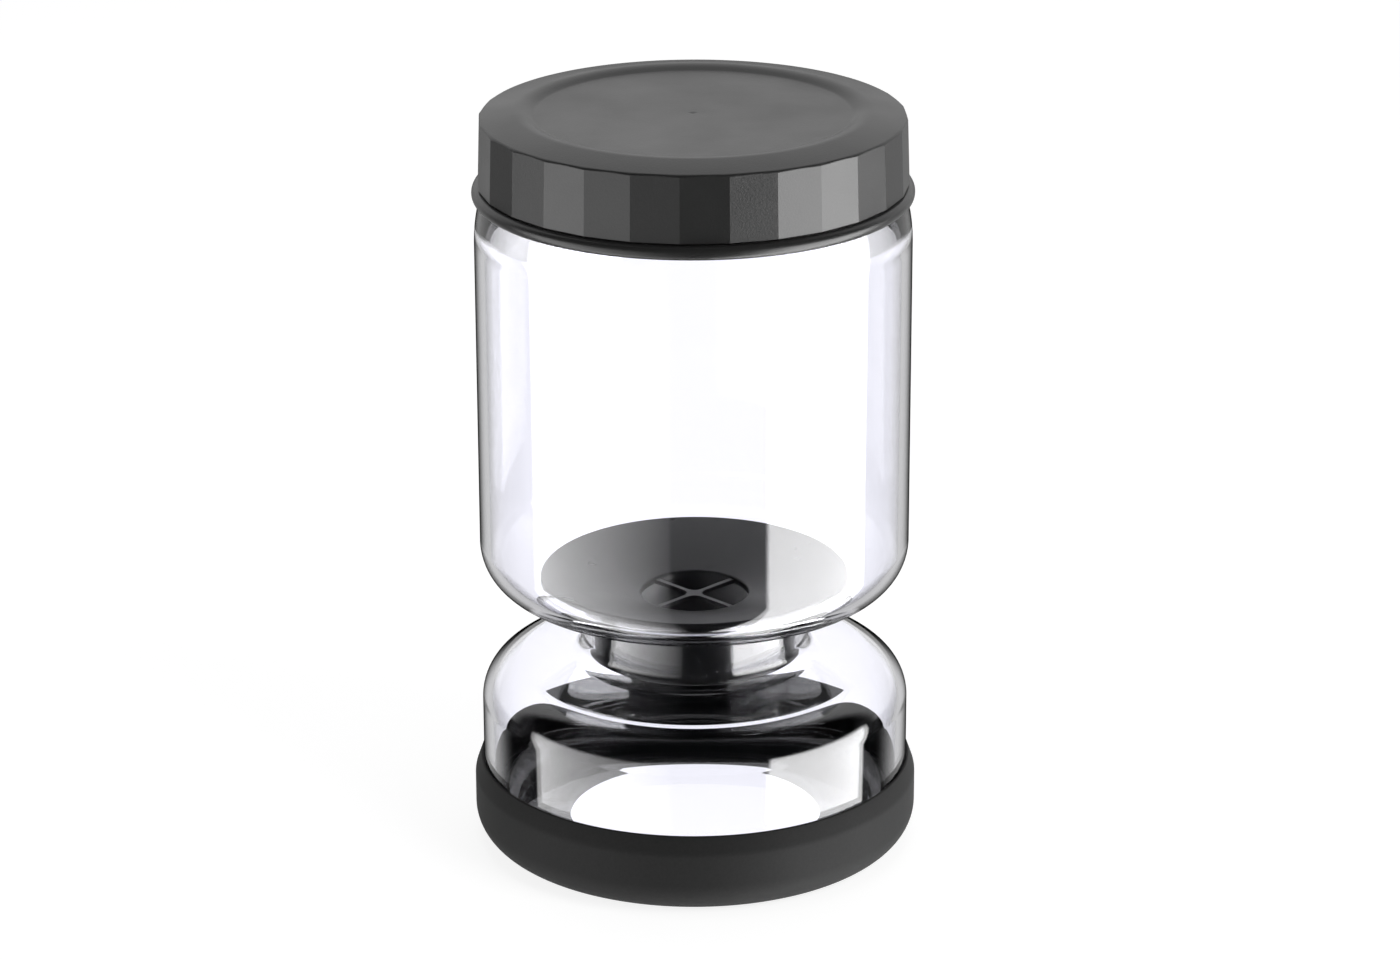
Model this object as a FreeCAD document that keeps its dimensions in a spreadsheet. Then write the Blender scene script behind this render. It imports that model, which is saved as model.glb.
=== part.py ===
import FreeCAD, Part
import math
import os
import Sketcher

# A draining jar: an hourglass glass body with two chambers and a narrow neck, a strainer
# that drops into the neck, a screw lid with a ring of flats, and a soft boot round the base.
# Millimetres. The jar's axis is Z and the boot stands on Z = 0.

SIZES = {
    # glass body
    "glassRadius": 50.0,
    "wall": 2.4,
    "baseThickness": 4.5,
    "puntInset": 16.0,
    "puntRise": 0.8,
    "heelRound": 6.5,
    "lowerHeight": 40.5,
    "lowerRound": 10.0,
    "lowerSlope": 8.0,
    "waistHeight": 21.6,
    "neckRadius": 26.4,
    "neckWall": 2.6,
    "neckLowRound": 3.6,
    "neckHighRound": 2.4,
    "upperHeight": 86.9,
    "upperRound": 11.6,
    "floorSlope": 12.5,
    "shoulderHeight": 6.1,
    "shoulderInset": 1.8,
    "shoulderRound": 36.0,
    "ledgeRise": 1.2,
    "ledgeRound": 1.0,
    "finishHeight": 16.3,
    "finishInset": 5.0,
    "finishWall": 3.0,
    "throatRound": 6.0,
    "lipRound": 1.2,
    "threadDepth": 1.1,
    # strainer
    "dishInset": 11.6,
    "dishThickness": 1.5,
    "dishEdgeRound": 0.5,
    "holeRadius": 12.6,
    "holeRound": 0.6,
    "barWidth": 1.2,
    "barHeight": 0.95,
    "barDrop": 0.5,
    "barRoot": 0.4,
    "barCount": 4,
    "barRound": 1.4,
    "barTurn": 45.0,
    "sleeveGap": 0.3,
    "sleeveWall": 1.5,
    "sleeveStop": 0.9,
    "sleeveRound": 0.5,
    # lid
    "lidWall": 2.44,
    "lidTop": 2.05,
    "lidGap": 0.25,
    "lidTurn": 2.9,
    "facetCount": 28,
    "facetDraft": 1.85,
    "facetStock": 0.7,
    "crestInset": 9.8,
    "crestRise": 1.6,
    "crestRound": 2.0,
    "recessInset": 2.7,
    "recessDepth": 1.25,
    "recessRound": 1.5,
    "beadStand": 1.6,
    "beadOverlap": 1.2,
    "beadHeight": 3.2,
    "beadRound": 1.5,
    "grooveHeight": 0.5,
    "grooveDepth": 0.8,
    # boot
    "bootWall": 2.0,
    "bootFloor": 2.5,
    "bootGap": 0.1,
    "bootDepth": 17.3,
    "bootRound": 8.0,
    "bootLipDrop": 4.2,
    "bootLipWidth": 0.5,
    "bootLipRound": 4.0,
    "bootFlange": 20.1,
    "bootHoleRound": 0.8,
}

doc = FreeCAD.newDocument("DrainingJar")
sheet = doc.addObject("Spreadsheet::Sheet", "Sizes")
for row, (alias, value) in enumerate(SIZES.items(), start=1):
    sheet.set(f"A{row}", alias)
    sheet.set(f"B{row}", str(value))
    sheet.setAlias(f"B{row}", alias)
doc.recompute()


def bind(owner, target, expression):
    """Ties a size of an object to the sheet. A word after # is the alias of a cell."""
    owner.setExpression(target, expression.replace("#", "Sizes."))


def newBody(label):
    body = doc.addObject("PartDesign::Body", label)
    body.Label = label
    return body


def originFeature(body, role):
    """The body's own origin plane or axis with this role."""
    return next(item for item in body.Origin.OriginFeatures if item.Role == role)


def polygon(body, name, role, corners):
    """A closed polygon on an origin plane. Each corner is (name, across, up), two expressions."""
    sketch = body.newObject("Sketcher::SketchObject", name)
    sketch.AttachmentSupport = [(originFeature(body, role), "")]
    sketch.MapMode = "FlatFace"
    count = len(corners)
    # The corners start on a ring, and their constraints move them to their places.
    turns = [2 * math.pi * i / count for i in range(count)]
    ring = [FreeCAD.Vector(30 + 10 * math.cos(a), 30 + 10 * math.sin(a), 0) for a in turns]
    for i in range(count):
        sketch.addGeometry(Part.LineSegment(ring[i], ring[(i + 1) % count]), False)
    for i in range(count):
        sketch.addConstraint(Sketcher.Constraint("Coincident", i, 2, (i + 1) % count, 1))
    for i, (corner, across, up) in enumerate(corners):
        for kind, way, expression, axis, start in (
            ("DistanceX", "Across", across, -2, ring[i].x),
            ("DistanceY", "Up", up, -1, ring[i].y),
        ):
            if expression == "0":
                sketch.addConstraint(Sketcher.Constraint("PointOnObject", i, 1, axis))
            else:
                made = sketch.addConstraint(Sketcher.Constraint(kind, -1, 1, i, 1, start))
                sketch.renameConstraint(made, corner + way)
                bind(sketch, f"Constraints.{corner}{way}", expression)
    doc.recompute()
    return sketch


def revolve(body, name, corners):
    """A solid of revolution about Z. Returns the feature and the place of each named corner."""
    sketch = polygon(body, name + "Profile", "XZ_Plane", corners)
    feature = body.newObject("PartDesign::Revolution", name)
    feature.Profile = sketch
    feature.ReferenceAxis = (sketch, ["V_Axis"])
    feature.Angle = 360
    doc.recompute()
    places = {corner[0]: sketch.getPoint(i, 1) for i, corner in enumerate(corners)}
    return feature, places


def fillet(body, name, edges, expression):
    """Rounds edges of the body's tip."""
    base = body.Tip
    feature = body.newObject("PartDesign::Fillet", name)
    feature.Base = (base, edges)
    bind(feature, "Radius", expression)
    body.Tip = feature
    doc.recompute()
    return feature


def ringEdges(shape, places):
    """Names of the circular edges about Z that pass through these profile corners."""
    found = []
    for place in places:
        for i, edge in enumerate(shape.Edges, start=1):
            round_ = isinstance(edge.Curve, Part.Circle)
            if round_ and abs(edge.Curve.Radius - place.x) + abs(edge.Curve.Center.z - place.y) < 1e-4:
                found.append(f"Edge{i}")
    if len(found) < len(places):
        raise ValueError("a profile corner has no edge to round")
    return found


def uprightEdges(shape, reach):
    """Names of the straight edges along Z that stand within reach of the axis."""
    found = []
    for i, edge in enumerate(shape.Edges, start=1):
        upright = isinstance(edge.Curve, Part.Line) and abs(edge.Curve.Direction.z) > 0.999
        foot = edge.Vertexes[0].Point
        if upright and math.hypot(foot.x, foot.y) < reach + 1e-4:
            found.append(f"Edge{i}")
    return found


def roundCorners(body, places, rounds):
    """Rounds profile corners, given as (feature name, corner names, radius expression)."""
    for name, corners, expression in rounds:
        chosen = [places[corner] for corner in corners]
        fillet(body, name, ringEdges(body.Tip.Shape, chosen), expression)


def spin(body, name, feature, countExpression):
    """Repeats a feature evenly round Z."""
    pattern = body.newObject("PartDesign::PolarPattern", name)
    pattern.Originals = [feature]
    pattern.Axis = (originFeature(body, "Z_Axis"), [""])
    pattern.Angle = 360
    bind(pattern, "Occurrences", countExpression)
    body.Tip = pattern
    doc.recompute()
    return pattern


# Radii and heights that more than one piece uses, as expressions of the sheet.
INNER_RADIUS = "(#glassRadius - #wall)"
BORE_RADIUS = "(#neckRadius - #neckWall)"
SHOULDER_END = "(#glassRadius - #shoulderInset)"
FINISH_RADIUS = "(#glassRadius - #finishInset)"
SLEEVE_RADIUS = f"({BORE_RADIUS} - #sleeveGap)"
BOOT_RADIUS = "(#glassRadius + #bootGap)"
LOWER_TOP = "(#bootFloor + #lowerHeight)"
UPPER_FOOT = f"({LOWER_TOP} + #waistHeight)"
SHOULDER_Z = f"({UPPER_FOOT} + #upperHeight)"
LEDGE_Z = f"({SHOULDER_Z} + #shoulderHeight)"
GLASS_TOP = f"({LEDGE_Z} + #finishHeight)"


def lowerShoulder(radius, inside):
    """Height of the lower chamber's sloping shoulder at a radius, on its outer or inner face."""
    drop = " - #wall / cos(#lowerSlope)" if inside else ""
    return f"{LOWER_TOP} + (#glassRadius - {radius}) * tan(#lowerSlope){drop}"


def upperFloor(radius, inside):
    """Height of the upper chamber's sloping floor at a radius, on its outer or inner face."""
    lift = " + #wall / cos(#floorSlope)" if inside else ""
    return f"{UPPER_FOOT} - (#glassRadius - {radius}) * tan(#floorSlope){lift}"


def dishTop(radius):
    """Height of the strainer's upper face, which lies on the glass floor."""
    return f"{upperFloor(radius, True)} + #dishThickness / cos(#floorSlope)"


def makeGlass():
    """One hollow hourglass: base, lower chamber, neck, upper chamber, shoulder and mouth."""
    body = newBody("glass_body")
    mouthRadius = f"{FINISH_RADIUS} - #finishWall"
    floorTop = "#bootFloor + #baseThickness"
    feature, places = revolve(body, "Hourglass", [
        ("puntTop", "0", "#bootFloor + #puntRise"),
        ("puntEdge", "#glassRadius - #puntInset", "#bootFloor"),
        ("heel", "#glassRadius", "#bootFloor"),
        ("lowerCorner", "#glassRadius", LOWER_TOP),
        ("neckLow", "#neckRadius", lowerShoulder("#neckRadius", False)),
        ("neckHigh", "#neckRadius", upperFloor("#neckRadius", False)),
        ("upperCorner", "#glassRadius", UPPER_FOOT),
        ("shoulder", "#glassRadius", SHOULDER_Z),
        ("shoulderEnd", SHOULDER_END, LEDGE_Z),
        ("ledge", FINISH_RADIUS, f"{LEDGE_Z} + #ledgeRise"),
        ("lipOuter", FINISH_RADIUS, GLASS_TOP),
        ("lipInner", mouthRadius, GLASS_TOP),
        ("throat", mouthRadius, LEDGE_Z),
        ("shoulderInner", INNER_RADIUS, f"{SHOULDER_Z} - #wall"),
        ("upperInner", INNER_RADIUS, upperFloor(INNER_RADIUS, True)),
        ("boreHigh", BORE_RADIUS, upperFloor(BORE_RADIUS, True)),
        ("boreLow", BORE_RADIUS, lowerShoulder(BORE_RADIUS, True)),
        ("lowerInner", INNER_RADIUS, lowerShoulder(INNER_RADIUS, True)),
        ("heelInner", INNER_RADIUS, floorTop),
        ("floorCentre", "0", floorTop),
    ])
    roundCorners(body, places, [
        ("HeelRounds", ("heel", "heelInner"), "#heelRound"),
        ("LowerShoulder", ("lowerCorner",), "#lowerRound"),
        ("LowerShoulderInner", ("lowerInner",), "#lowerRound - #wall"),
        ("NeckLow", ("neckLow",), "#neckLowRound"),
        ("BoreLow", ("boreLow",), "#neckLowRound + #wall"),
        ("NeckHigh", ("neckHigh",), "#neckHighRound"),
        ("BoreHigh", ("boreHigh",), "#neckHighRound"),
        ("UpperCorner", ("upperCorner",), "#upperRound"),
        ("UpperCornerInner", ("upperInner",), "#upperRound - #wall"),
        ("Shoulder", ("shoulder",), "#shoulderRound"),
        ("ShoulderInner", ("shoulderInner", "throat"), "#throatRound"),
        ("Ledge", ("shoulderEnd", "ledge"), "#ledgeRound"),
        ("Lip", ("lipOuter", "lipInner"), "#lipRound"),
    ])
    return body


def makeStrainer():
    """A shallow cone on the glass floor, a cross in its hole and a sleeve down the neck."""
    body = newBody("strainer")
    sleeveInner = f"({SLEEVE_RADIUS} - #sleeveWall)"
    sleeveFoot = f"{lowerShoulder(BORE_RADIUS, True)} + #sleeveStop"
    dishRadius = f"({INNER_RADIUS} - #dishInset)"
    feature, places = revolve(body, "Dish", [
        ("rimTop", dishRadius, dishTop(dishRadius)),
        ("rimFoot", dishRadius, upperFloor(dishRadius, True)),
        ("sleeveTop", SLEEVE_RADIUS, upperFloor(SLEEVE_RADIUS, True)),
        ("sleeveFoot", SLEEVE_RADIUS, sleeveFoot),
        ("sleeveFootInner", sleeveInner, sleeveFoot),
        ("sleeveTopInner", sleeveInner, upperFloor(sleeveInner, True)),
        ("holeFoot", "#holeRadius", upperFloor("#holeRadius", True)),
        ("holeTop", "#holeRadius", dishTop("#holeRadius")),
    ])
    roundCorners(body, places, [
        ("DishEdge", ("rimTop",), "#dishEdgeRound"),
        ("DishHole", ("holeTop",), "#holeRound"),
        ("SleeveFoot", ("sleeveFoot", "sleeveFootInner"), "#sleeveRound"),
    ])
    sketch = polygon(body, "BarOutline", "XY_Plane", [
        ("middleLeft", "0", "-#barWidth / 2"),
        ("rootLeft", "#holeRadius + #barRoot", "-#barWidth / 2"),
        ("rootRight", "#holeRadius + #barRoot", "#barWidth / 2"),
        ("middleRight", "0", "#barWidth / 2"),
    ])
    barTop = f"{dishTop('#holeRadius')} - #barDrop"
    bind(sketch, "AttachmentOffset.Base.z", f"{barTop} - #barHeight")
    bar = body.newObject("PartDesign::Pad", "Bar")
    bar.Profile = sketch
    bind(bar, "Length", "#barHeight")
    doc.recompute()
    cross = spin(body, "Cross", bar, "#barCount")
    upright = uprightEdges(cross.Shape, places["holeTop"].x)
    fillet(body, "BarEnds", upright, "#barRound")
    bind(body, "Placement.Rotation.Angle", "#barTurn")
    return body


def makeLid():
    """A hollow screw cap: a round blank with a bead, cut by drafted flats, and a sunk top."""
    body = newBody("lid")
    skirtInner = f"({FINISH_RADIUS} + #threadDepth + #lidGap)"
    apothem = f"({skirtInner} + #lidWall)"
    blankRadius = f"({apothem} + #facetStock)"
    beadRadius = f"({apothem} + #beadStand)"
    beadFoot = f"({LEDGE_Z} - #beadOverlap)"
    beadTop = f"({beadFoot} + #beadHeight)"
    beadInner = f"{SHOULDER_END} + #beadOverlap * #shoulderInset / #shoulderHeight + #lidGap"
    facetFloor = f"({beadTop} + #grooveHeight)"
    crestRadius = f"({apothem} - #crestInset)"
    recessFloor = f"({GLASS_TOP} + #lidTop)"
    crest = f"({recessFloor} + #recessDepth)"
    feature, places = revolve(body, "Blank", [
        ("recessMiddle", "0", recessFloor),
        ("recessEdge", f"{crestRadius} - #recessInset", recessFloor),
        ("crest", crestRadius, crest),
        ("blankTop", blankRadius, f"{crest} - #crestRise"),
        ("blankFoot", blankRadius, facetFloor),
        ("grooveTop", f"{apothem} - #grooveDepth", facetFloor),
        ("grooveFoot", f"{apothem} - #grooveDepth", beadTop),
        ("beadTop", beadRadius, beadTop),
        ("beadFoot", beadRadius, beadFoot),
        ("beadInner", beadInner, beadFoot),
        ("flareFoot", beadInner, f"{LEDGE_Z} + #lidGap"),
        ("flareTop", skirtInner, f"{LEDGE_Z} + #ledgeRise"),
        ("skirtTop", skirtInner, GLASS_TOP),
        ("plateMiddle", "0", GLASS_TOP),
    ])
    roundCorners(body, places, [
        ("Bead", ("beadTop", "beadFoot"), "#beadRound"),
        ("Crest", ("crest",), "#crestRound"),
        ("Recess", ("recessEdge",), "#recessRound"),
    ])
    above = f"({crest} + #crestRise)"
    cutFoot = f"({facetFloor} - #grooveHeight / 2)"
    sketch = polygon(body, "FlatSection", "YZ_Plane", [
        ("flatFoot", f"{apothem} + #grooveHeight / 2 * tan(#facetDraft)", cutFoot),
        ("outFoot", f"{beadRadius} + #facetStock", cutFoot),
        ("outTop", f"{beadRadius} + #facetStock", above),
        ("flatTop", f"{apothem} - ({above} - {facetFloor}) * tan(#facetDraft)", above),
    ])
    flat = body.newObject("PartDesign::Pocket", "Flat")
    flat.Profile = sketch
    flat.SideType = "Symmetric"
    bind(flat, "Length", apothem)
    doc.recompute()
    spin(body, "Flats", flat, "#facetCount")
    bind(body, "Placement.Rotation.Angle", "#lidTurn")
    return body


def makeBoot():
    """A soft cup that grips the glass base, with a rounded rim and an open middle."""
    body = newBody("base_boot")
    holeRadius = f"{BOOT_RADIUS} - #bootFlange"
    outerRadius = f"{BOOT_RADIUS} + #bootWall"
    rimZ = "#bootFloor + #bootDepth"
    feature, places = revolve(body, "Cup", [
        ("holeFoot", holeRadius, "0"),
        ("heel", outerRadius, "0"),
        ("lipFoot", outerRadius, f"{rimZ} - #bootLipDrop"),
        ("lipTop", f"{BOOT_RADIUS} + #bootLipWidth", rimZ),
        ("rimInner", BOOT_RADIUS, rimZ),
        ("heelInner", BOOT_RADIUS, "#bootFloor"),
        ("holeTop", holeRadius, "#bootFloor"),
    ])
    roundCorners(body, places, [
        ("BootHeel", ("heel",), "#bootRound"),
        ("BootHeelInner", ("heelInner",), "#heelRound"),
        ("BootLip", ("lipFoot",), "#bootLipRound"),
        ("BootHole", ("holeFoot", "holeTop"), "#bootHoleRound"),
    ])
    return body


bodies = [makeGlass(), makeStrainer(), makeLid(), makeBoot()]
doc.recompute()

for item in doc.Objects:
    if "Invalid" in item.State or "Error" in item.State:
        raise ValueError(f"{item.Label} failed")
for body in bodies:
    shape = body.Shape
    if shape.isNull() or not shape.isValid() or len(shape.Solids) != 1:
        raise ValueError(f"{body.Label} isn't one valid solid")

os.makedirs("parts", exist_ok=True)
for body in bodies:
    body.Shape.exportStep(f"parts/{body.Label}.step")
    box = body.Shape.BoundBox
    volume = body.Shape.Volume / 1000
    print(f"{body.Label}: {volume:.1f} cm3, z {box.ZMin:.2f} to {box.ZMax:.2f}, width {box.XLength:.2f}")
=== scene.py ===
import math

import bpy
from mathutils import Matrix, Vector


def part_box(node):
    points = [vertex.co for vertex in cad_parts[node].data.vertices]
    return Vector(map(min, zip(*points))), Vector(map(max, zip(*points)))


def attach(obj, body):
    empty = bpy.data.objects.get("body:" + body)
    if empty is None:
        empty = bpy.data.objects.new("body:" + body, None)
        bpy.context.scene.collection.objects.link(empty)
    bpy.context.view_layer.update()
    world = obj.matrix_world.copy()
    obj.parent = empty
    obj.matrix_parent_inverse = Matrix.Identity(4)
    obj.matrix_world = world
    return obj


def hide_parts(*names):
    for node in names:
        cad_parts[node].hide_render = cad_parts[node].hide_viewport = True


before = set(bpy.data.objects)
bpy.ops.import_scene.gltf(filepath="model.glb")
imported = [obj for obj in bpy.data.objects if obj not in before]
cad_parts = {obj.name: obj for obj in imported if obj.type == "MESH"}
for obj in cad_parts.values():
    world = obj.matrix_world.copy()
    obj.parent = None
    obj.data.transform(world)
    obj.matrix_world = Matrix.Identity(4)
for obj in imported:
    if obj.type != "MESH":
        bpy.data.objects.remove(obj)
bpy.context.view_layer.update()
mm = 0.001
weld = mm / 500  # points closer than this are merged
print("frame loaded")


def linear(hexColour):
    # sRGB hex to the linear numbers that a shader wants
    channels = [int(hexColour[i:i + 2], 16) / 255 for i in (1, 3, 5)]
    return [c / 12.92 if c <= 0.04045 else ((c + 0.055) / 1.055) ** 2.4 for c in channels] + [1]


def addNode(tree, kind, settings=None, values=None, links=None):
    node = tree.nodes.new(kind)
    for name, setting in (settings or {}).items():
        setattr(node, name, setting)
    for name, value in (values or {}).items():
        node.inputs[name].default_value = value
    for name, socket in (links or {}).items():
        tree.links.new(socket, node.inputs[name])
    return node


# camera and studio

view = dict(
    distance=1002.7,  # in front of the jar's axis, mm
    height=456.3,
    pitch=20.19,  # degrees below level
    yaw=0.078,
    roll=-0.158,
    lens=118.2,
    sensor=36,
    nearest=0.01,  # metres
)

studio = dict(  # angles in degrees round from the camera's side, towards +X
    rightFrom=40,
    rightTo=103,
    rightStrength=9.5,
    leftFrom=-13,
    leftTo=-95,
    leftNear=0.35,  # the left light grows from its near end to its far end
    leftFar=5.6,
    edge=1.2,  # softness of the lights' edges
    lightsTop=6,  # how high the lights reach above level
    lightsFade=5,
    wallFrom=112,  # the white wall behind, above the jar's foot
    wallTo=200,
    wallEdge=6,
    wallStrength=1.1,
    lowFrom=128,  # low down only the wall's sides are lit
    lowTo=161,
    lowEdge=10,
    lowStrength=0.75,
    lowStart=0.08,  # a direction's Z where the low part begins to show, and where it is complete
    lowFull=-0.02,
    fill=0.25,
    floorWidth=6000,
    floorGlow=0.86,
    floorShade=0.34,
    paperThrough=1.3,  # the paper, brighter through the glass, which keeps some of the light
    paperTint="#FAFAFF",
    paperPlain="#E6E6E6",
    lampAim=0.08,  # the height that the lamps point at, m
)

lamps = dict(  # place in m, power in W, width in m
    keyLight=((0.9, -0.7, 0.9), 6.5, 0.7),
    fillLight=((-0.9, -1.0, 0.7), 0.8, 0.8),
    topLight=((0.0, 0.3, 1.3), 4.0, 0.8),
)


def placeCamera():
    data = bpy.data.cameras.new("camera")
    data.lens = view["lens"]
    data.sensor_width = view["sensor"]
    data.clip_start = view["nearest"]
    shot = bpy.data.objects.new("camera", data)
    bpy.context.scene.collection.objects.link(shot)
    turn = Matrix.Rotation(math.radians(-view["yaw"]), 4, "Z")
    tip = Matrix.Rotation(math.radians(90 - view["pitch"]), 4, "X")
    roll = Matrix.Rotation(math.radians(view["roll"]), 4, "Z")
    place = Matrix.Translation((0, -view["distance"] * mm, view["height"] * mm))
    shot.matrix_world = place @ turn @ tip @ roll
    bpy.context.scene.camera = shot
    bpy.context.scene.view_settings.view_transform = "Standard"


def arithmetic(tree, operation, first, second=0.0):
    node = addNode(tree, "ShaderNodeMath", dict(operation=operation))
    for socket, given in zip(node.inputs, (first, second)):
        if isinstance(given, (int, float)):
            socket.default_value = given
        else:
            tree.links.new(given, socket)
    return node.outputs[0]


def fade(tree, value, low, high):
    # 0 at one value and 1 at the other, smooth between
    node = addNode(tree, "ShaderNodeMapRange", dict(interpolation_type="SMOOTHSTEP"),
                   {"From Min": low, "From Max": high}, {"Value": value})
    return node.outputs[0]


def band(tree, value, low, high, edge):
    # 1 between two angles, fading over the edge at each
    rise = fade(tree, value, math.radians(low - edge), math.radians(low + edge))
    fall = fade(tree, value, math.radians(high + edge), math.radians(high - edge))
    return arithmetic(tree, "MULTIPLY", rise, fall)


def blend(tree, factor, first, second):
    # a plain mix of two numbers or sockets
    node = addNode(tree, "ShaderNodeMix")
    for index, given in ((0, factor), (2, first), (3, second)):
        if isinstance(given, (int, float)):
            node.inputs[index].default_value = given
        else:
            tree.links.new(given, node.inputs[index])
    return node.outputs[0]


def mixShaders(tree, factor, first, second):
    node = addNode(tree, "ShaderNodeMixShader", links={"Fac": factor})
    tree.links.new(first.outputs[0], node.inputs[1])
    tree.links.new(second.outputs[0], node.inputs[2])
    return node


def lightStudio():
    # A dark room with a light each side of the camera and a white wall behind the jar. Surfaces
    # mirror that room, glass shows the white paper behind it, the camera sees white, and plain
    # surfaces get an even fill.
    s = studio
    world = bpy.data.worlds.new("studio")
    bpy.context.scene.world = world
    world.use_nodes = True
    world.cycles.sampling_method = "NONE"
    tree = world.node_tree
    tree.nodes.clear()
    direction = addNode(tree, "ShaderNodeTexCoord").outputs["Generated"]
    split = addNode(tree, "ShaderNodeSeparateXYZ", links={0: direction})
    ahead = arithmetic(tree, "MULTIPLY", split.outputs["Y"], -1.0)
    azimuth = arithmetic(tree, "ARCTAN2", split.outputs["X"], ahead)
    turned = arithmetic(tree, "ABSOLUTE", azimuth)

    rightBand = band(tree, azimuth, s["rightFrom"], s["rightTo"], s["edge"])
    right = arithmetic(tree, "MULTIPLY", rightBand, s["rightStrength"])
    leftBand = band(tree, azimuth, s["leftTo"], s["leftFrom"], s["edge"])
    leftStrength = addNode(tree, "ShaderNodeMapRange", values={
        "From Min": math.radians(s["leftFrom"]), "From Max": math.radians(s["leftTo"]),
        "To Min": s["leftNear"], "To Max": s["leftFar"]}, links={"Value": azimuth}).outputs[0]
    left = arithmetic(tree, "MULTIPLY", leftBand, leftStrength)
    topmost, lowest = (math.sin(math.radians(s["lightsTop"] + side * s["lightsFade"]))
                       for side in (1, -1))
    reach = fade(tree, split.outputs["Z"], topmost, lowest)
    lights = arithmetic(tree, "MULTIPLY", arithmetic(tree, "ADD", right, left), reach)

    wallBand = band(tree, turned, s["wallFrom"], s["wallTo"], s["wallEdge"])
    wall = arithmetic(tree, "MULTIPLY", wallBand, s["wallStrength"])
    sidesBand = band(tree, turned, s["lowFrom"], s["lowTo"], s["lowEdge"])
    sides = arithmetic(tree, "MULTIPLY", sidesBand, s["lowStrength"])
    low = fade(tree, split.outputs["Z"], s["lowStart"], s["lowFull"])
    room = arithmetic(tree, "ADD", lights, blend(tree, low, wall, sides))

    path = addNode(tree, "ShaderNodeLightPath")
    reflected = arithmetic(tree, "MINIMUM", path.outputs["Glossy Depth"], 1.0)
    shown = blend(tree, reflected, s["paperThrough"], room)
    mirrored = arithmetic(tree, "MAXIMUM", path.outputs["Is Glossy Ray"],
                          path.outputs["Is Transmission Ray"])
    seen = arithmetic(tree, "MAXIMUM", arithmetic(tree, "MULTIPLY", shown, mirrored),
                      path.outputs["Is Camera Ray"])
    scattered = arithmetic(tree, "MINIMUM", path.outputs["Diffuse Depth"], 1.0)
    strength = blend(tree, scattered, seen, s["fill"])
    shine = addNode(tree, "ShaderNodeBackground", links={"Strength": strength})
    addNode(tree, "ShaderNodeOutputWorld", links={"Surface": shine.outputs[0]})

    for name, (place, power, size) in lamps.items():
        data = bpy.data.lights.new(name, "AREA")
        data.energy = power
        data.size = size
        lamp = bpy.data.objects.new(name, data)
        lamp.location = place
        aim = Vector(place) - Vector((0, 0, s["lampAim"]))
        lamp.rotation_euler = aim.to_track_quat("Z", "Y").to_euler()
        lamp.visible_glossy = False  # the world shows the lights to what mirrors them
        lamp.visible_transmission = False
        bpy.context.scene.collection.objects.link(lamp)


def layFloor():
    # white paper that glows a little, so that it shows white and still takes the jar's shadow
    bpy.ops.object.select_all(action="DESELECT")
    bpy.ops.mesh.primitive_plane_add(size=studio["floorWidth"] * mm)
    floor = bpy.context.object
    floor.name = "floor"
    paper = bpy.data.materials.new("white seamless paper")
    paper.use_nodes = True
    tree = paper.node_tree
    tree.nodes.clear()
    shade = addNode(tree, "ShaderNodeBsdfDiffuse",
                    values={"Color": [studio["floorShade"]] * 3 + [1]})
    glow = addNode(tree, "ShaderNodeEmission", values={"Strength": studio["floorGlow"]})
    lit = addNode(tree, "ShaderNodeAddShader")
    tree.links.new(shade.outputs[0], lit.inputs[0])
    tree.links.new(glow.outputs[0], lit.inputs[1])
    throughGlass = addNode(tree, "ShaderNodeEmission", values={
        "Color": linear(studio["paperTint"]), "Strength": studio["paperThrough"]})
    plain = addNode(tree, "ShaderNodeBsdfDiffuse",
                    values={"Color": linear(studio["paperPlain"])})
    nothing = addNode(tree, "ShaderNodeBsdfTransparent")  # mirrors see the room past the floor
    path = addNode(tree, "ShaderNodeLightPath")
    scattered = arithmetic(tree, "MINIMUM", path.outputs["Diffuse Depth"], 1.0)
    reflected = arithmetic(tree, "MINIMUM", path.outputs["Glossy Depth"], 1.0)
    forGlass = mixShaders(tree, path.outputs["Is Transmission Ray"], lit, throughGlass)
    forPlain = mixShaders(tree, scattered, forGlass, plain)
    forMirrors = mixShaders(tree, reflected, forPlain, nothing)
    addNode(tree, "ShaderNodeOutputMaterial", links={"Surface": forMirrors.outputs[0]})
    floor.data.materials.append(paper)


placeCamera()
lightStudio()
layFloor()
print("camera and studio set")


# tools for round pieces

def roundedOutline(corners, arcStep):
    # corners are (radius, height, rounding) in mm; an arc gets a point every few degrees
    outline = []
    last = len(corners) - 1
    for i, (r, z, rounding) in enumerate(corners):
        here = Vector((r, z))
        if rounding == 0 or i in (0, last):
            outline.append(here)
            continue
        back = (Vector(corners[i - 1][:2]) - here).normalized()
        on = (Vector(corners[i + 1][:2]) - here).normalized()
        half = back.angle(on) / 2
        reach = rounding / math.tan(half)
        centre = here + (back + on).normalized() * (rounding / math.sin(half))
        first = here + back * reach - centre
        sweep = math.pi - 2 * half
        if first.x * back.y - first.y * back.x > 0:
            sweep = -sweep
        count = max(2, math.ceil(math.degrees(abs(sweep)) / arcStep))
        for k in range(count + 1):
            outline.append(centre + Matrix.Rotation(sweep * k / count, 2) @ first)
    return outline


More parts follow.
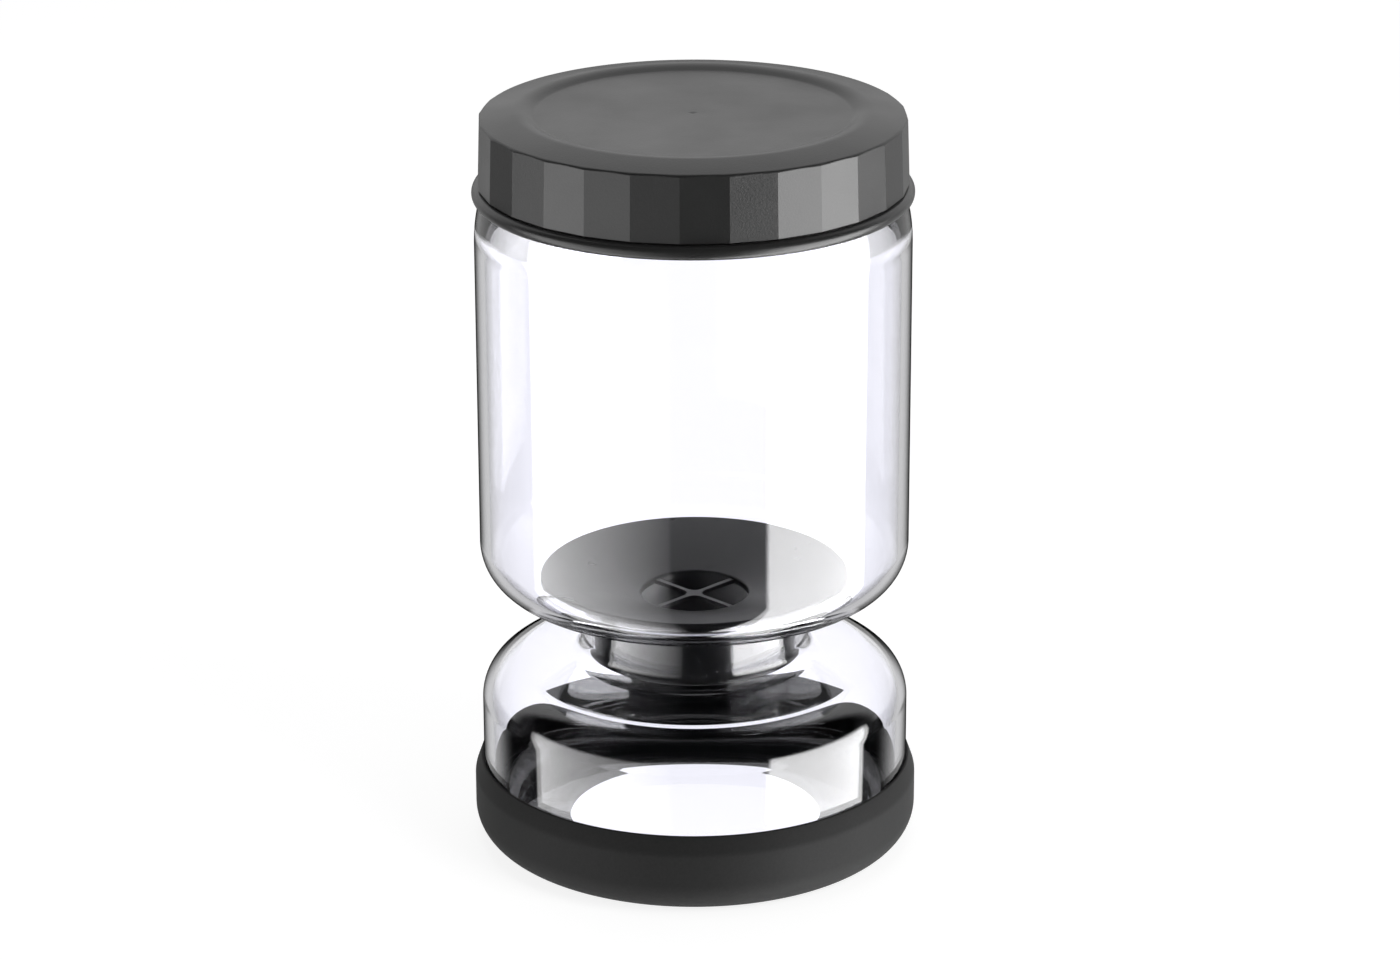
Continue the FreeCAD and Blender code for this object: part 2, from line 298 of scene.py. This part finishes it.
def lathe(name, corners, steps, arcStep, turn=0, closed=False):
    # a profile drawn by extruding one point, then spun round Z
    outline = roundedOutline(corners, arcStep)
    if closed:
        outline.append(outline[0])
    spots = [Vector((p.x * mm, 0, p.y * mm)) for p in outline]
    bpy.ops.object.select_all(action="DESELECT")
    bpy.ops.mesh.primitive_plane_add(size=mm)
    piece = bpy.context.object
    piece.name = piece.data.name = name
    bpy.ops.object.mode_set(mode="EDIT")
    bpy.ops.mesh.select_mode(type="VERT")
    bpy.ops.mesh.select_all(action="SELECT")
    bpy.ops.mesh.merge(type="CENTER")
    bpy.ops.transform.translate(value=spots[0])
    for before, after in zip(spots, spots[1:]):
        bpy.ops.mesh.extrude_region_move(TRANSFORM_OT_translate={"value": after - before})
    bpy.ops.mesh.select_all(action="SELECT")
    bpy.ops.transform.rotate(value=math.radians(-turn), orient_axis="Z", center_override=(0, 0, 0))
    bpy.ops.mesh.spin(steps=steps, angle=2 * math.pi, center=(0, 0, 0), axis=(0, 0, 1))
    bpy.ops.mesh.select_all(action="SELECT")
    bpy.ops.mesh.remove_doubles(threshold=weld)
    bpy.ops.mesh.normals_make_consistent(inside=False)
    bpy.ops.object.mode_set(mode="OBJECT")
    return piece


def pick(*pieces):
    # selects these alone and makes the last one active
    bpy.ops.object.select_all(action="DESELECT")
    for piece in pieces:
        piece.select_set(True)
    bpy.context.view_layer.objects.active = pieces[-1]


def selectEdges(piece, wanted):
    # opens the piece in edit mode with only the edges whose two ends (in mm) pass a test
    pick(piece)
    bpy.context.tool_settings.mesh_select_mode = (False, True, False)
    for items in (piece.data.vertices, piece.data.polygons):
        items.foreach_set("select", [False] * len(items))
    for edge in piece.data.edges:
        edge.select = wanted(*(piece.data.vertices[v].co / mm for v in edge.vertices))
    bpy.ops.object.mode_set(mode="EDIT")


def finishPiece(piece, node, material, angle=35):
    pick(piece)
    if angle:
        bpy.ops.object.shade_smooth_by_angle(angle=math.radians(angle))
    piece.data.materials.clear()
    piece.data.materials.append(material)
    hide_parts(node)
    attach(piece, "root")


# glass body

glass = dict(  # mm and degrees
    radius=50.0,
    wall=2.4,
    base=4.5,
    puntInset=16.0,
    puntRise=0.8,
    puntRound=40,
    heel=6.5,
    lowerHeight=40.5,
    lowerRound=10.0,
    lowerRoundInside=7.9,
    lowerSlope=8.0,
    waistHeight=21.6,
    neckRadius=26.4,
    neckWall=2.6,
    neckLow=3.6,
    neckHigh=2.4,
    upperHeight=86.9,
    upperRound=11.6,
    floorSlope=12.5,
    shoulderHeight=6.1,
    shoulderInset=1.8,
    shoulderRound=36.0,
    ledgeRise=1.2,
    ledgeRound=1.0,
    finishHeight=16.3,
    finishInset=5.0,
    finishWall=3.0,
    throat=6.0,
    lip=1.2,
    steps=192,
    arcStep=4,
    smooth=40,
    colour="#FCFCFF",
    shadow="#C8C8CC",
    ior=1.52,
    rippleSize=22,
    rippleDepth=0.02,
    rippleStrength=0.35,
)
glass["foot"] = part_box("glass_body")[0][2] / mm
glass["lowerTop"] = glass["foot"] + glass["lowerHeight"]
glass["upperFoot"] = glass["lowerTop"] + glass["waistHeight"]
glass["inner"] = glass["radius"] - glass["wall"]
glass["bore"] = glass["neckRadius"] - glass["neckWall"]


def lowerShoulder(radius, inside):
    lean = math.radians(glass["lowerSlope"])
    drop = glass["wall"] / math.cos(lean) if inside else 0
    return glass["lowerTop"] + (glass["radius"] - radius) * math.tan(lean) - drop


def upperFloor(radius, inside):
    lean = math.radians(glass["floorSlope"])
    lift = glass["wall"] / math.cos(lean) if inside else 0
    return glass["upperFoot"] - (glass["radius"] - radius) * math.tan(lean) + lift


def clearGlass():
    # Soda-lime glass, pressed and blown: clear with a faint cool cast and slow ripples.
    # Lamps pass straight through it, because caustics are too slow to render.
    material = bpy.data.materials.new("soda-lime glass")
    material.use_nodes = True
    tree = material.node_tree
    tree.nodes.clear()
    place = addNode(tree, "ShaderNodeTexCoord").outputs["Object"]
    ripple = addNode(tree, "ShaderNodeTexNoise", values={
        "Scale": 1 / (glass["rippleSize"] * mm), "Detail": 1.0, "Roughness": 0.4},
        links={"Vector": place})
    bump = addNode(tree, "ShaderNodeBump", values={
        "Strength": glass["rippleStrength"], "Distance": glass["rippleDepth"] * mm},
        links={"Height": ripple.outputs["Fac"]})
    body = addNode(tree, "ShaderNodeBsdfPrincipled", values={
        "Base Color": linear(glass["colour"]), "Roughness": 0.0, "IOR": glass["ior"],
        "Transmission Weight": 1.0}, links={"Normal": bump.outputs["Normal"]})
    clear = addNode(tree, "ShaderNodeBsdfTransparent", values={"Color": linear(glass["shadow"])})
    path = addNode(tree, "ShaderNodeLightPath")
    mix = mixShaders(tree, path.outputs["Is Shadow Ray"], body, clear)
    addNode(tree, "ShaderNodeOutputMaterial", links={"Surface": mix.outputs[0]})
    return material


def blowGlass():
    g = glass
    shoulder = g["upperFoot"] + g["upperHeight"]
    ledge = shoulder + g["shoulderHeight"]
    top = ledge + g["finishHeight"]
    finish = g["radius"] - g["finishInset"]
    mouth = finish - g["finishWall"]
    floor = g["foot"] + g["base"]
    piece = lathe("glassBody", [
        (0, g["foot"] + g["puntRise"], 0),
        (g["radius"] - g["puntInset"], g["foot"], g["puntRound"]),
        (g["radius"], g["foot"], g["heel"]),
        (g["radius"], g["lowerTop"], g["lowerRound"]),
        (g["neckRadius"], lowerShoulder(g["neckRadius"], False), g["neckLow"]),
        (g["neckRadius"], upperFloor(g["neckRadius"], False), g["neckHigh"]),
        (g["radius"], g["upperFoot"], g["upperRound"]),
        (g["radius"], shoulder, g["shoulderRound"]),
        (g["radius"] - g["shoulderInset"], ledge, g["ledgeRound"]),
        (finish, ledge + g["ledgeRise"], g["ledgeRound"]),
        (finish, top, g["lip"]),
        (mouth, top, g["lip"]),
        (mouth, ledge, g["throat"]),
        (g["inner"], shoulder - g["wall"], g["throat"]),
        (g["inner"], upperFloor(g["inner"], True), g["upperRound"] - g["wall"]),
        (g["bore"], upperFloor(g["bore"], True), g["neckHigh"] * 2),
        (g["bore"], lowerShoulder(g["bore"], True), g["neckLow"] + g["wall"]),
        (g["inner"], lowerShoulder(g["inner"], True), g["lowerRoundInside"]),
        (g["inner"], floor, g["heel"]),
        (0, floor, 0),
    ], steps=g["steps"], arcStep=g["arcStep"])
    finishPiece(piece, "glass_body", clearGlass(), angle=g["smooth"])


blowGlass()
print("glass body done")


plastic = dict(
    ior=1.49,
    patchSize=14,  # of the slow changes of gloss, mm
    toneStrength=0.35,
    bumpStrength=0.6,
)


def mouldedPlastic(name, piece):
    # a dark moulded surface: fine spark-eroded grain and slow changes of gloss
    material = bpy.data.materials.new(name)
    material.use_nodes = True
    tree = material.node_tree
    tree.nodes.clear()
    place = addNode(tree, "ShaderNodeTexCoord").outputs["Object"]
    grain = addNode(tree, "ShaderNodeTexNoise", values={
        "Scale": 1 / (piece["grainSize"] * mm), "Detail": 3.0, "Roughness": 0.6},
        links={"Vector": place})
    slow = addNode(tree, "ShaderNodeTexNoise", values={
        "Scale": 1 / (plastic["patchSize"] * mm), "Detail": 2.0}, links={"Vector": place})
    gloss = addNode(tree, "ShaderNodeMapRange", values={
        "To Min": piece["roughness"] - piece["patch"] / 2,
        "To Max": piece["roughness"] + piece["patch"] / 2}, links={"Value": slow.outputs["Fac"]})
    tone = addNode(tree, "ShaderNodeMix", dict(data_type="RGBA", blend_type="MULTIPLY"),
                   {0: plastic["toneStrength"], 6: linear(piece["colour"])},
                   {7: grain.outputs["Fac"]})
    bump = addNode(tree, "ShaderNodeBump", values={
        "Strength": plastic["bumpStrength"], "Distance": piece["grainDepth"] * mm},
        links={"Height": grain.outputs["Fac"]})
    body = addNode(tree, "ShaderNodeBsdfPrincipled", values={
        "IOR": plastic["ior"], "Specular IOR Level": piece["specular"]}, links={
        "Base Color": tone.outputs[2], "Roughness": gloss.outputs[0],
        "Normal": bump.outputs["Normal"]})
    addNode(tree, "ShaderNodeOutputMaterial", links={"Surface": body.outputs[0]})
    return material


# strainer

strainer = dict(  # mm
    rimInset=11.6,
    thickness=1.5,
    rimRound=0.5,
    hole=12.6,
    holeRound=0.6,
    sleeveGap=0.3,
    sleeveWall=1.5,
    sleeveStop=0.9,
    sleeveRound=0.5,
    barWidth=1.2,
    barHeight=0.95,
    barDrop=0.5,
    barRoot=0.3,
    barRound=2.2,
    barRoundSteps=6,
    discSteps=96,
    barNear=0.02,  # how close an edge has to be to count as lying along a bar
    cutterSteps=192,
    cutterHeight=6,
    steps=168,
    arcStep=12,
    colour="#343434",
    roughness=0.3,
    patch=0.12,
    specular=0.5,
    grainSize=0.6,
    grainDepth=0.01,
)


def mouldGrille(bottom):
    # a disc with four openings, each a quarter of the hole between the bars
    s = strainer
    bpy.ops.object.select_all(action="DESELECT")
    bpy.ops.mesh.primitive_cylinder_add(
        vertices=s["discSteps"], radius=(s["hole"] + s["barRoot"]) * mm, depth=s["barHeight"] * mm,
        location=(0, 0, (bottom + s["barHeight"] / 2) * mm))
    disc = bpy.context.object
    for quarter in range(4):
        bpy.ops.object.select_all(action="DESELECT")
        bpy.ops.mesh.primitive_cylinder_add(
            vertices=s["cutterSteps"], radius=s["hole"] * mm, depth=s["cutterHeight"] * mm,
            location=(0, 0, bottom * mm))
        cutter = bpy.context.object
        bpy.ops.object.mode_set(mode="EDIT")
        for side in (1, -1):
            angle = math.radians(90 * quarter + 45 * side)
            across = Vector((-math.sin(angle), math.cos(angle), 0)) * side
            bpy.ops.mesh.select_all(action="SELECT")
            bpy.ops.mesh.bisect(
                plane_co=-across * s["barWidth"] / 2 * mm + Vector((0, 0, bottom * mm)),
                plane_no=across, use_fill=True, clear_outer=True)
        bpy.ops.object.mode_set(mode="OBJECT")
        middle = Matrix.Rotation(math.radians(90 * quarter), 2) @ Vector((1, 0))

        def atCorner(a, b):
            # the upright edges that lie against a bar, near the middle and at the hole's rim
            along = a.xy.dot(middle)
            beside = (a.xy - middle * along).length
            upright = abs(a.z - b.z) > s["cutterHeight"] / 2
            offBar = abs(along - beside - s["barWidth"] / math.sqrt(2))
            return upright and offBar < s["barNear"]

        selectEdges(cutter, atCorner)
        bpy.ops.mesh.bevel(offset=s["barRound"] * mm, segments=s["barRoundSteps"])
        bpy.ops.object.mode_set(mode="OBJECT")
        cut = disc.modifiers.new("opening", "BOOLEAN")
        cut.operation = "DIFFERENCE"
        cut.object = cutter
        bpy.context.view_layer.objects.active = disc
        bpy.ops.object.modifier_apply(modifier=cut.name)
        bpy.data.objects.remove(cutter)
    return disc


def mouldStrainer():
    s = strainer
    lean = math.radians(glass["floorSlope"])
    lift = s["thickness"] / math.cos(lean)
    rim = glass["inner"] - s["rimInset"]
    sleeve = glass["bore"] - s["sleeveGap"]
    inner = sleeve - s["sleeveWall"]
    foot = lowerShoulder(glass["bore"], True) + s["sleeveStop"]
    holeTop = upperFloor(s["hole"], True) + lift
    dish = lathe("strainerDish", [
        (s["hole"], upperFloor(s["hole"], True), 0),
        (s["hole"], holeTop, s["holeRound"]),
        (rim, upperFloor(rim, True) + lift, s["rimRound"]),
        (rim, upperFloor(rim, True), 0),
        (sleeve, upperFloor(sleeve, True), 0),
        (sleeve, foot, s["sleeveRound"]),
        (inner, foot, s["sleeveRound"]),
        (inner, upperFloor(inner, True), 0),
    ], steps=s["steps"], arcStep=s["arcStep"], closed=True)
    grille = mouldGrille(holeTop - s["barDrop"] - s["barHeight"])
    pick(grille)
    bpy.ops.object.transform_apply()
    pick(grille, dish)
    bpy.ops.object.join()
    # Polypropylene from a polished mould: dark, smooth and slightly glossy.
    material = mouldedPlastic("polypropylene, smooth", s)
    finishPiece(dish, "strainer", material)


mouldStrainer()
print("strainer done")


# lid

lid = dict(  # mm and degrees
    facets=28,
    turn=-3.5,
    cuts=5,  # between the corners of the flats
    footRadius=49.1,
    topRadius=48.6,
    edgeRound=0.6,
    edgeSteps=4,
    crest=39.0,
    crestRise=1.6,
    crestRound=6,
    crownEdge=7,  # how far the lathed top goes past the crest
    recess=36.3,
    recessDepth=1.25,
    recessRound=2.0,
    gateRadius=1.1,
    gateDepth=0.25,
    gateRound=0.6,
    groove=0.8,
    grooveHeight=0.5,
    bead=1.6,
    beadHeight=3.2,
    beadRound=1.55,
    gap=0.25,
    thread=1.1,
    overlap=1.2,
    topReach=1,  # how far each way from a seam its open rims are looked for
    footReach=0.2,
    topArcStep=4,
    footArcStep=12,
    smallFlat=10,  # mm2, below which a face is shaded smooth
    colour="#2B2B2B",
    roughness=0.34,
    patch=0.12,
    specular=0.5,
    grainSize=0.5,
    grainDepth=0.05,
)


def bridgeRims(piece, low, high):
    # joins the two open rims that lie between two heights
    bpy.context.tool_settings.mesh_select_mode = (False, True, False)
    bpy.ops.object.mode_set(mode="EDIT")
    bpy.ops.mesh.select_all(action="DESELECT")
    bpy.ops.mesh.select_non_manifold(use_wire=False, use_multi_face=False,
                                     use_non_contiguous=False, use_verts=False)
    bpy.ops.object.mode_set(mode="OBJECT")
    rims = {e.index for e in piece.data.edges if e.select}
    for edge in piece.data.edges:
        height = piece.data.vertices[edge.vertices[0]].co.z / mm
        edge.select = edge.index in rims and low < height < high
    for items in (piece.data.vertices, piece.data.polygons):
        items.foreach_set("select", [False] * len(items))
    bpy.ops.object.mode_set(mode="EDIT")
    bpy.ops.mesh.bridge_edge_loops()
    bpy.ops.object.mode_set(mode="OBJECT")


def mouldLid():
    p = lid
    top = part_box("lid")[1][2] / mm
    edge = top - p["crestRise"]
    ledge = glass["upperFoot"] + glass["upperHeight"] + glass["shoulderHeight"]
    beadFoot = ledge - p["overlap"]
    beadTop = beadFoot + p["beadHeight"]
    facetFoot = beadTop + p["grooveHeight"]
    floor = top - p["recessDepth"]
    plate = ledge + glass["finishHeight"]
    apothem = p["footRadius"] * math.cos(math.pi / p["facets"])
    skirt = glass["radius"] - glass["finishInset"] + p["thread"] + p["gap"]
    end = glass["radius"] - glass["shoulderInset"]
    taper = glass["shoulderInset"] / glass["shoulderHeight"]
    beadInner = end + p["overlap"] * taper + p["gap"]
    steps = p["facets"] * (p["cuts"] + 1)
    outside = p["crest"] + p["crownEdge"]
    fall = p["crestRise"] * (p["topRadius"] - outside) / (p["topRadius"] - p["crest"])
    crown = lathe("lidCrown", [
        (0, floor - p["gateDepth"], 0),
        (p["gateRadius"], floor, p["gateRound"]),
        (p["recess"], floor, p["recessRound"]),
        (p["crest"], top, p["crestRound"]),
        (outside, edge + fall, 0),
    ], steps=steps, arcStep=p["topArcStep"], turn=p["turn"])
    under = lathe("lidUnder", [
        (apothem - p["groove"], facetFoot, 0),
        (apothem - p["groove"], beadTop, 0),
        (apothem + p["bead"], beadTop, p["beadRound"]),
        (apothem + p["bead"], beadFoot, p["beadRound"]),
        (beadInner, beadFoot, 0),
        (beadInner, ledge + p["gap"], 0),
        (skirt, ledge + glass["ledgeRise"], 0),
        (skirt, plate, 0),
        (0, plate, 0),
    ], steps=steps, arcStep=p["footArcStep"], turn=p["turn"])
    bpy.ops.object.select_all(action="DESELECT")
    bpy.ops.mesh.primitive_circle_add(vertices=p["facets"], radius=p["footRadius"] * mm,
                                      location=(0, 0, facetFoot * mm),
                                      rotation=(0, 0, math.radians(p["turn"])))
    cap = bpy.context.object
    cap.name = cap.data.name = "lidCap"
    bpy.ops.object.transform_apply()
    bpy.ops.object.mode_set(mode="EDIT")
    bpy.ops.mesh.select_all(action="SELECT")
    bpy.ops.mesh.subdivide(number_cuts=p["cuts"])
    radius, height = p["footRadius"], facetFoot
    for step in range(p["edgeSteps"] + 1):  # up the flats, then over the rounded edge
        over = step / p["edgeSteps"]
        lean = math.radians(90 * over)
        nextRadius = p["topRadius"] - p["edgeRound"] * (1 - math.cos(lean))
        nextHeight = edge - p["edgeRound"] * (1 - math.sin(lean))
        bpy.ops.mesh.extrude_region_move(
            TRANSFORM_OT_translate={"value": (0, 0, (nextHeight - height) * mm)})
        shrink = nextRadius / radius
        bpy.ops.transform.resize(value=(shrink, shrink, 1),
                                 center_override=(0, 0, nextHeight * mm))
        bpy.ops.transform.tosphere(value=over)  # the flats fade into a round edge
        radius, height = nextRadius, nextHeight
    bpy.ops.object.mode_set(mode="OBJECT")
    pick(crown, under, cap)
    bpy.ops.object.join()
    bridgeRims(cap, edge - p["topReach"], top + p["topReach"])
    bridgeRims(cap, facetFoot - p["footReach"], facetFoot + p["footReach"])

    bpy.ops.object.mode_set(mode="EDIT")
    bpy.ops.mesh.select_all(action="SELECT")
    bpy.ops.mesh.normals_make_consistent(inside=False)
    bpy.ops.object.mode_set(mode="OBJECT")
    for face in cap.data.polygons:
        flat = abs(face.normal.z) < 0.05 and facetFoot < face.center.z / mm < edge
        face.use_smooth = not (flat and face.area > p["smallFlat"] * mm * mm)
    # Polypropylene with a spark-eroded matte grain.
    material = mouldedPlastic("polypropylene, matte", p)
    finishPiece(cap, "lid", material, angle=0)


mouldLid()
print("lid done")


# boot

boot = dict(  # mm
    wall=2.0,
    floor=2.5,
    gap=0.1,
    depth=17.3,
    heel=8.0,
    lipDrop=4.2,
    lipWidth=0.5,
    lipRound=4.0,
    lipOuterRound=0.4,
    lipInnerRound=0.1,
    flange=20.1,
    flangeStart=5,  # where the profile starts, out from the hole
    holeRound=0.8,
    steps=168,
    arcStep=5,
    colour="#2A2A2A",
    roughness=0.72,
    patch=0.06,
    specular=0.25,
    grainSize=0.7,
    grainDepth=0.03,
)


def mouldBoot():
    b = boot
    inner = glass["radius"] + b["gap"]
    outer = inner + b["wall"]
    hole = inner - b["flange"]
    rim = b["floor"] + b["depth"]
    piece = lathe("baseBoot", [
        (hole + b["flangeStart"], 0, 0),
        (outer, 0, b["heel"]),
        (outer, rim - b["lipDrop"], b["lipRound"]),
        (inner + b["lipWidth"], rim, b["lipOuterRound"]),
        (inner, rim, b["lipInnerRound"]),
        (inner, b["floor"], glass["heel"]),
        (hole, b["floor"], b["holeRound"]),
        (hole, 0, b["holeRound"]),
    ], steps=b["steps"], arcStep=b["arcStep"], closed=True)
    # Silicone rubber, moulded: soft matte sheen that hides fine grain.
    material = mouldedPlastic("silicone rubber", b)
    finishPiece(piece, "base_boot", material)


mouldBoot()
print("boot done")
